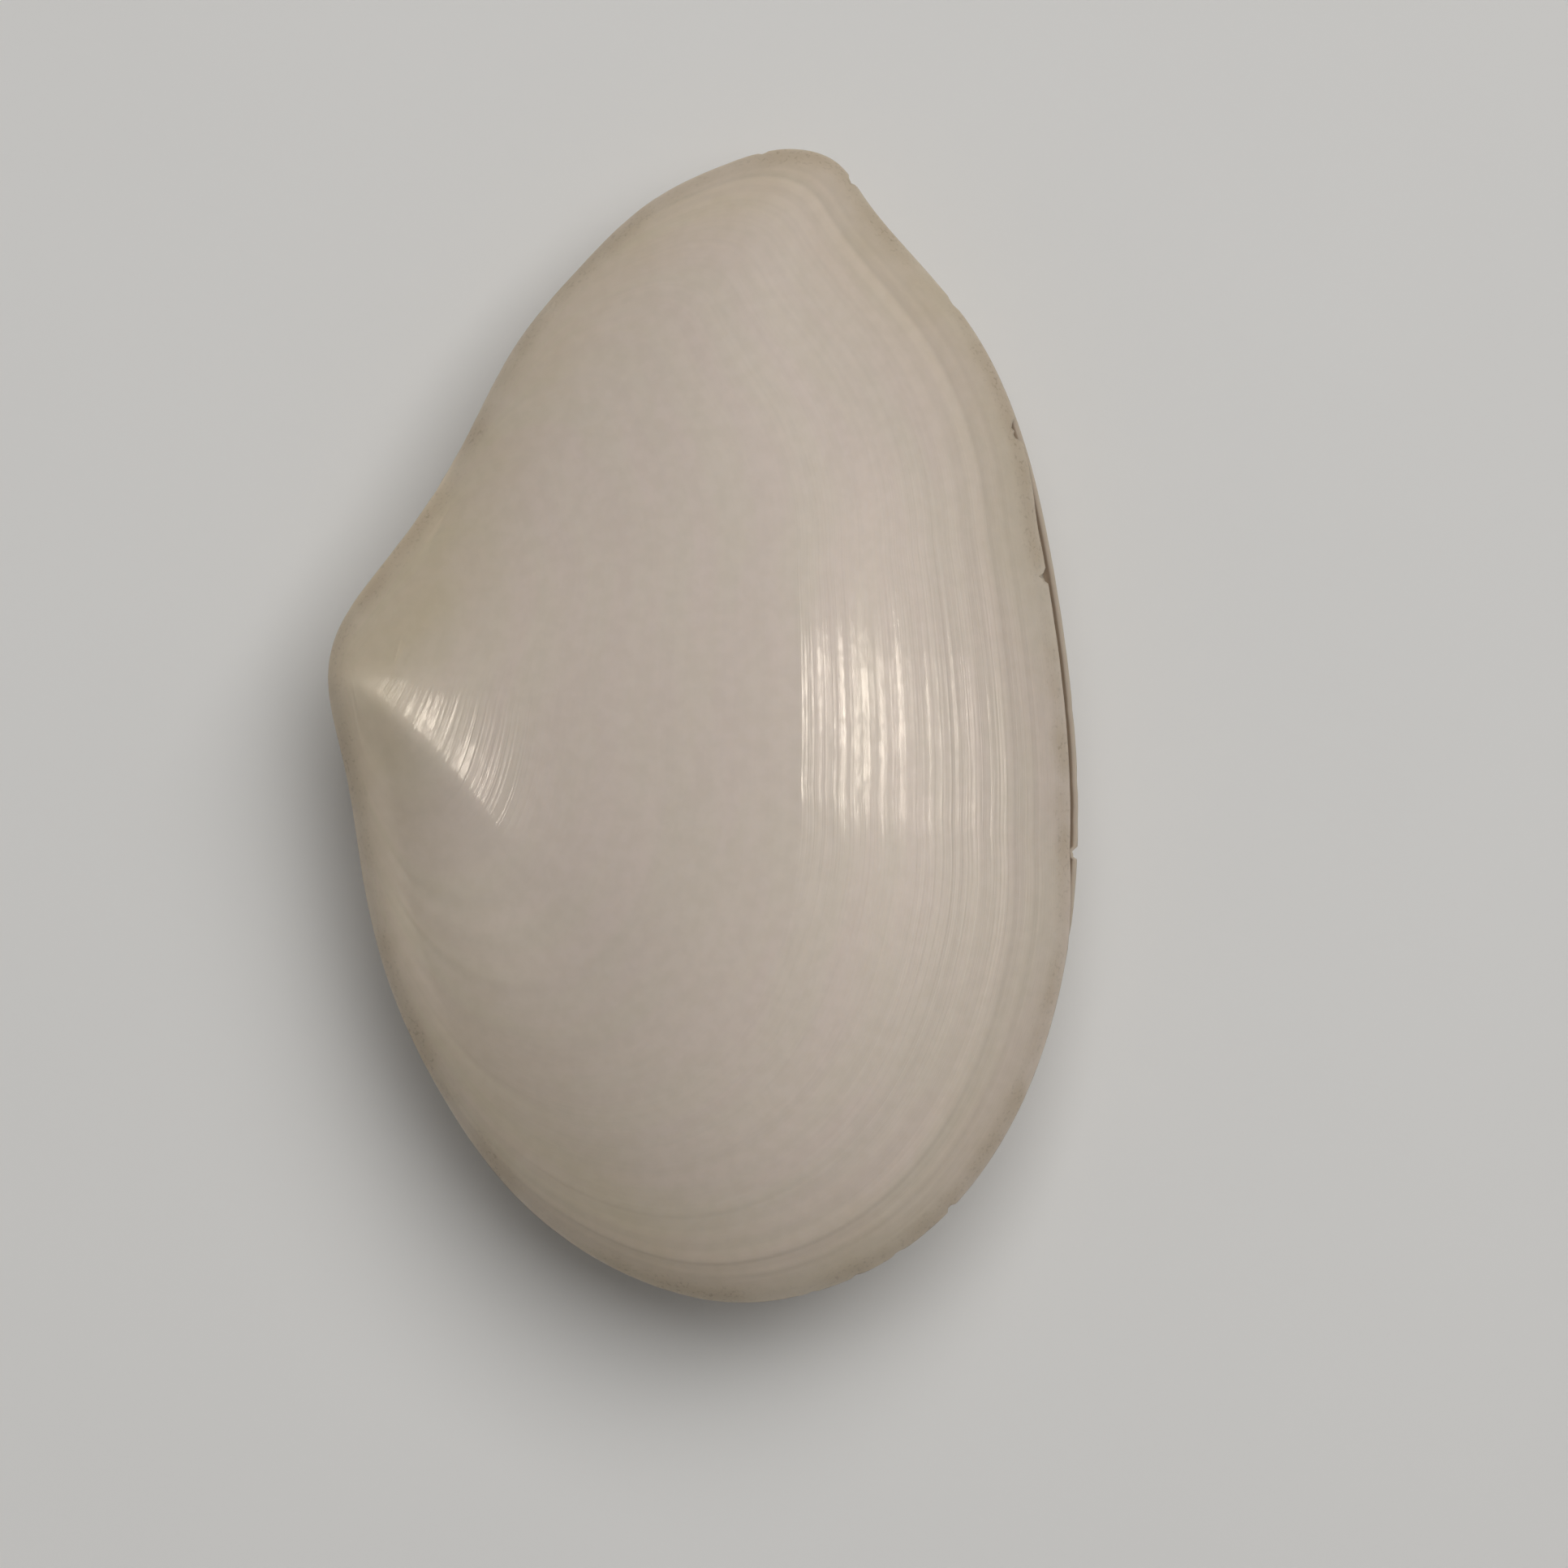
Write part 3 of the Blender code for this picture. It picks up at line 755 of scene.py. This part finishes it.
class Nodes:
    """Short calls for building a material's node tree."""

    def __init__(self, name):
        self.material = bpy.data.materials.new(name)
        self.material.use_nodes = True
        self.tree = self.material.node_tree
        self.surface = self.tree.nodes["Principled BSDF"]

    def add(self, kind, inputs=None, **settings):
        made = self.tree.nodes.new("ShaderNode" + kind)
        for name, value in settings.items():
            setattr(made, name, value)
        for key, value in (inputs or {}).items():
            self.put(made.inputs[key], value)
        return made

    def put(self, socket, value):
        if isinstance(value, bpy.types.NodeSocket):
            self.tree.links.new(value, socket)
        else:
            socket.default_value = value

    def mask(self, name):
        return self.add("Attribute", attribute_name=name).outputs["Fac"]

    def maths(self, operation, first, second=0.0):
        return self.add("Math", {0: first, 1: second}, operation=operation).outputs[0]

    def ramp(self, value, low, high, new_low=0.0, new_high=1.0):
        inputs = {0: value, 1: low, 2: high, 3: new_low, 4: new_high}
        return self.add("MapRange", inputs, interpolation_type="SMOOTHSTEP").outputs[0]

    def mix(self, share, first, second, blend="MIX"):
        inputs = {0: share, 6: first, 7: second}
        return self.add("Mix", inputs, data_type="RGBA", blend_type=blend).outputs[2]

    def noise(self, vector, scale, detail=2.0, roughness=0.5):
        inputs = {"Vector": vector, "Scale": scale, "Detail": detail, "Roughness": roughness}
        return self.add("TexNoise", inputs).outputs["Fac"]

    def tinted(self, colour, share, pattern, tints):
        """A colour multiplied, to a share, by two tints that a pattern mixes."""
        dark, pale = tints
        return self.mix(share, colour, self.mix(pattern, shaded(dark), shaded(pale)), "MULTIPLY")


# Colours of the shell, and pairs of tints that its bands, hues and mottling mix
CREAM = (0.66, 0.575, 0.5)
YELLOW = (0.6, 0.51, 0.38)
# Tan of the rim, partly the margin's colour and partly painted shade along the edge
RIM_TAN_AND_SHADE = (0.47, 0.38, 0.275)
SPECK_BROWN = (0.2, 0.145, 0.095)
DARK_CHALK = (0.36, 0.29, 0.22)
PALE_CHALK = (0.5, 0.43, 0.34)
INNER_WHITE = (0.7, 0.64, 0.54)
# Painted shade in the crevice by the lip
CREVICE_SHADE = (0.27, 0.2, 0.14)
BAND_TINTS = ((0.94, 0.95, 0.94), (1.05, 1.03, 1.04))
HUE_TINTS = ((0.98, 1.01, 0.97), (1.02, 0.985, 1.03))
MOTTLE_TINTS = ((0.93, 0.93, 0.91), (1.05, 1.05, 1.06))
RIGHT_VALVE_SHADE = 0.97

# Gloss of the shell, and height in millimetres of its finest lines and of the grit on its breaks
SHELL_ROUGHNESS = 0.42
BROKEN_ROUGHNESS = 0.75
COAT_WEIGHT = 0.75
LONG_LINES = 0.029
SHORT_LINES = 0.007
GRIT = 0.03


def shaded(colour, shade=1.0):
    """A colour with its alpha, darkened to a share."""
    return tuple(shade * value for value in colour) + (1,)


class ShellNodes(Nodes):
    """The node tree of a valve's material, whose patterns follow the growth lines."""

    def __init__(self, name):
        super().__init__(name)
        self.growth = self.mask("growth")
        self.place = self.add("TexCoord").outputs["Object"]
        self.spot = self.add("SeparateXYZ", {0: self.place})

    def lined_noise(self, across, along, detail):
        """Noise with cells so many millimetres across the growth lines and along them."""
        x = self.maths("MULTIPLY", self.spot.outputs[0], MM_PER_METRE / along)
        y = self.maths("MULTIPLY", self.spot.outputs[1], MM_PER_METRE / along)
        z = self.maths("MULTIPLY", self.growth, 1 / across)
        return self.noise(self.add("CombineXYZ", {0: x, 1: y, 2: z}).outputs[0], 1.0, detail)

    def colour(self, shade):
        """Cream, with yellowish places, faint bands and mottling, and the tone of the growth lines."""
        cloud = self.noise(self.place, 260.0)
        yellowness = self.maths("MULTIPLY", self.mask("yellow"), self.ramp(cloud, 0.2, 0.8, 0.75, 1.2))
        colour = self.mix(yellowness, shaded(CREAM, shade), shaded(YELLOW, shade))
        bands = self.ramp(self.lined_noise(1.1, 14.0, 3.0), 0.25, 0.75)
        colour = self.tinted(colour, 0.2, bands, BAND_TINTS)
        hue = self.ramp(self.lined_noise(1.9, 9.0, 2.0), 0.35, 0.65)
        colour = self.tinted(colour, 0.3, hue, HUE_TINTS)
        mottle = self.ramp(self.noise(self.place, 1500.0, 3.0), 0.3, 0.7)
        colour = self.tinted(colour, 0.35, mottle, MOTTLE_TINTS)
        tone = self.maths("ADD", self.mask("tone"), 1.0)
        grey = self.add("CombineColor", {0: tone, 1: tone, 2: tone}).outputs[0]
        colour = self.mix(1.0, colour, grey, "MULTIPLY")
        return self.worn(colour, cloud, shade)

    def worn(self, colour, cloud, shade):
        """The colour with its tan, specked rim, chalky breaks, the inside and the dark line by the lip. The
        rim's tan is partly the margin's colour and partly painted shade along the edge, and the line by the
        lip is painted shade.
        """
        rim = self.maths("MULTIPLY", self.mask("rim"), self.ramp(cloud, 0.35, 0.65, 0.15, 0.7))
        colour = self.mix(rim, colour, shaded(RIM_TAN_AND_SHADE, shade))
        specks = self.ramp(self.noise(self.place, 5500.0, 5.0), 0.52, 0.72, 0.0, 0.6)
        colour = self.mix(self.maths("MULTIPLY", specks, rim), colour, shaded(SPECK_BROWN))
        chalk = self.mix(cloud, shaded(DARK_CHALK), shaded(PALE_CHALK))
        colour = self.mix(self.mask("broken"), colour, chalk)
        colour = self.mix(self.mask("inside"), colour, shaded(INNER_WHITE))
        return self.mix(self.mask("crevice"), colour, shaded(CREVICE_SHADE))

    def polish(self):
        """Where the coat is glossy: streaks along the lines, broken into blotches and beads."""
        stripes = self.ramp(self.lined_noise(0.24, 40.0, 2.0), 0.4, 0.62, 0.12, 1.0)
        blotches = self.ramp(self.lined_noise(2.5, 2.2, 2.0), 0.35, 0.6, 0.5, 1.0)
        beads = self.ramp(self.lined_noise(0.16, 0.45, 1.0), 0.35, 0.6, 0.4, 1.0)
        worn_beak = self.ramp(self.growth, 0.5, 2.8, 0.25, 1.0)
        smooth_zone = self.ramp(self.mask("striae"), 0.02, 0.3, 0.35, 1.0)
        young_shell = self.ramp(self.growth, 22.5, 26.5, 1.0, 0.5)
        patches = self.maths("MULTIPLY", worn_beak, smooth_zone)
        for pattern in (young_shell, stripes, blotches, beads):
            patches = self.maths("MULTIPLY", patches, pattern)
        unbroken = self.ramp(self.mask("broken"), 0.0, 0.5, COAT_WEIGHT, 0.0)
        return self.maths("MULTIPLY", unbroken, patches)

    def relief(self):
        """Bump of long and short fine lines, and of the grit on the breaks."""
        fine = self.maths("SUBTRACT", self.lined_noise(0.17, 60.0, 2.0), 0.5)
        short = self.maths("SUBTRACT", self.lined_noise(0.12, 2.0, 1.0), 0.5)
        fine = self.maths("MULTIPLY", fine, LONG_LINES)
        lines = self.maths("ADD", fine, self.maths("MULTIPLY", short, SHORT_LINES))
        lines = self.maths("MULTIPLY", lines, self.mask("striae"))
        grit = self.maths("MULTIPLY", self.noise(self.place, 4000.0, 4.0), GRIT)
        grit = self.maths("MULTIPLY", grit, self.mask("broken"))
        height = self.maths("ADD", lines, grit)
        return self.add("Bump", {"Height": height, "Distance": MM, "Strength": 1.0}).outputs[0]


def shell_material(name, shade):
    """Glossy cream shell with chalky breaks."""
    nodes = ShellNodes(name)
    inputs = nodes.surface.inputs
    nodes.put(inputs["Base Color"], nodes.colour(shade))
    nodes.put(inputs["Coat Weight"], nodes.polish())
    relief = nodes.relief()
    nodes.put(inputs["Normal"], relief)
    nodes.put(inputs["Coat Normal"], relief)
    dull = nodes.ramp(nodes.mask("broken"), 0.0, 1.0, SHELL_ROUGHNESS, BROKEN_ROUGHNESS)
    nodes.put(inputs["Roughness"], dull)
    inputs["IOR"].default_value = 1.5
    inputs["Coat Roughness"].default_value = 0.1
    inputs["Subsurface Weight"].default_value = 0.12
    inputs["Subsurface Radius"].default_value = (1.0, 0.7, 0.45)
    inputs["Subsurface Scale"].default_value = 0.8 * MM
    return nodes.material


def ligament_material(name):
    """Dried brown horn with fibres along it."""
    nodes = Nodes(name)
    place = nodes.add("TexCoord").outputs["Object"]
    stretched = nodes.add("VectorMath", {0: place, 1: (0.35, 0.2, 1.0)}, operation="MULTIPLY").outputs[0]
    fibres = nodes.noise(stretched, 9000.0, 4.0)
    colour = nodes.mix(fibres, (0.045, 0.022, 0.01, 1), (0.28, 0.15, 0.065, 1))
    height = nodes.add("Bump", {"Height": fibres, "Distance": 0.08 * MM, "Strength": 1.0})
    nodes.put(nodes.surface.inputs["Base Color"], colour)
    nodes.put(nodes.surface.inputs["Roughness"], nodes.ramp(fibres, 0.3, 0.7, 0.42, 0.6))
    nodes.put(nodes.surface.inputs["Normal"], height.outputs[0])
    return nodes.material


def floor_material():
    nodes = Nodes("pale_floor")
    place = nodes.add("TexCoord").outputs["Object"]
    shade = nodes.noise(place, 40.0, 3.0)
    colour = nodes.mix(shade, (0.8, 0.8, 0.79, 1), (0.83, 0.83, 0.82, 1))
    nodes.put(nodes.surface.inputs["Base Color"], colour)
    nodes.surface.inputs["Roughness"].default_value = 0.7
    nodes.surface.inputs["Specular IOR Level"].default_value = 0.2
    return nodes.material


def add_piece(name, mesh, material):
    piece = bpy.data.objects.new(name, mesh)
    mesh.materials.append(material)
    bpy.context.scene.collection.objects.link(piece)
    return piece


def set_down(pieces):
    """Tilts the fine shell as the part lies, and sets it where the part's right valve is."""
    for piece in pieces.values():
        piece.data.transform(Matrix.Rotation(REST_PITCH, 4, "X") @ Matrix.Scale(MM, 4))
    places = np.array([vertex.co for vertex in pieces["right_valve"].data.vertices])
    low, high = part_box("right_valve")
    across = (low + high) / 2 - Vector((places.min(0) + places.max(0)) / 2)
    move = Matrix.Translation((across.x, across.y, low.z - places[:, 2].min()))
    for piece in pieces.values():
        piece.data.transform(move)


def add_shell():
    """Makes the three pieces, which stand for the part's three nodes."""
    pieces = {
        "left_valve": add_piece(
            "left_valve_fine",
            valve_mesh("left_valve_fine", left_outline(), 1, LEFT_CHIPS, LEFT_SEED),
            shell_material("left_shell", 1.0),
        ),
        "right_valve": add_piece(
            "right_valve_fine",
            valve_mesh("right_valve_fine", right_outline(), -1, RIGHT_CHIPS, RIGHT_SEED),
            shell_material("right_shell", RIGHT_VALVE_SHADE),
        ),
        "ligament": add_piece("ligament_fine", ligament_mesh("ligament_fine"), ligament_material("horn")),
    }
    set_down(pieces)
    for node, piece in pieces.items():
        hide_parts(node)
        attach(piece, "root")


# Camera and lights. Directions are given as azimuth from +X towards +Y and elevation, in degrees.
PHOTO_SIZE = 1932
SILHOUETTE_PIXELS = 1424
PHOTO_MM_PER_PIXEL = SHELL_LENGTH / SILHOUETTE_PIXELS
SHELL_MIDDLE_PIXEL = (867.0, 893.0)
MEETING_PLANE = 6.85
CAMERA_DISTANCE = 400.0
KEY_TINT = (1.0, 0.985, 0.965)
STRIP_TINT = (1.0, 0.89, 0.75)
KEY = {
    "azimuth": 60,
    "elevation": 61,
    "distance": 0.9,
    "size": (0.8, 0.8),
    "radiance": 2.85,
    "tint": KEY_TINT,
}
RIGHT_STRIP = {
    "azimuth": 5.7,
    "elevation": 47,
    "distance": 0.6,
    "size": (0.075, 0.31),
    "radiance": 19.0,
    "tint": STRIP_TINT,
    "roll": math.radians(-7.0),
}
LEFT_STRIP = {
    "azimuth": 180,
    "elevation": 31,
    "distance": 0.6,
    "size": (0.15, 0.30),
    "radiance": 13.0,
    "tint": STRIP_TINT,
    "roll": math.radians(-50.0),
}
AMBIENT = 0.16
FLOOR_HALF_WIDTH = 3.0


def add_light(name, azimuth, elevation, distance, size, radiance, tint, roll=0.0):
    """An area light of a given brightness that faces the shell. Its second side runs up and down."""
    lamp = bpy.data.lights.new(name, "AREA")
    lamp.shape = "RECTANGLE"
    lamp.size, lamp.size_y = size
    lamp.energy = radiance * math.pi * size[0] * size[1]
    lamp.color = tint
    holder = bpy.data.objects.new(name, lamp)
    level = math.cos(math.radians(elevation))
    towards = Vector((
        level * math.cos(math.radians(azimuth)),
        level * math.sin(math.radians(azimuth)),
        math.sin(math.radians(elevation)),
    ))
    holder.location = towards * distance + Vector((0, 0, MEETING_PLANE * MM))
    holder.rotation_euler = (towards.to_track_quat("Z", "Y") @ Quaternion((0, 0, 1), roll)).to_euler()
    bpy.context.scene.collection.objects.link(holder)
    return holder


def add_studio():
    floor_mesh = bpy.data.meshes.new("floor")
    half = FLOOR_HALF_WIDTH
    corners = [(-half, -half, 0), (half, -half, 0), (half, half, 0), (-half, half, 0)]
    floor_mesh.from_pydata(corners, [], [(0, 1, 2, 3)])
    add_piece("floor", floor_mesh, floor_material())
    key = add_light("key", **KEY)
    key.visible_glossy = False
    for strip in (add_light("right_strip", **RIGHT_STRIP), add_light("left_strip", **LEFT_STRIP)):
        strip.visible_diffuse = False
    world = bpy.data.worlds.new("studio")
    world.use_nodes = True
    world.node_tree.nodes["Background"].inputs["Color"].default_value = (1.0, 0.99, 0.98, 1)
    world.node_tree.nodes["Background"].inputs["Strength"].default_value = AMBIENT
    bpy.context.scene.world = world
    bpy.context.scene.view_settings.view_transform = "Standard"


def add_camera():
    """Looks straight down, with the shell at the same place in the frame as in the photograph."""
    camera = bpy.data.cameras.new("camera")
    frame_width = PHOTO_SIZE * PHOTO_MM_PER_PIXEL
    camera.sensor_width = 36.0
    camera.lens = camera.sensor_width * CAMERA_DISTANCE / frame_width
    camera.clip_start = 0.01
    camera.clip_end = 20.0
    holder = bpy.data.objects.new("camera", camera)
    x = (PHOTO_SIZE / 2 - SHELL_MIDDLE_PIXEL[0]) * PHOTO_MM_PER_PIXEL
    y = (SHELL_MIDDLE_PIXEL[1] - PHOTO_SIZE / 2) * PHOTO_MM_PER_PIXEL
    holder.location = (x * MM, y * MM, (MEETING_PLANE + CAMERA_DISTANCE) * MM)
    bpy.context.scene.collection.objects.link(holder)
    bpy.context.scene.camera = holder


add_camera()
add_shell()
add_studio()
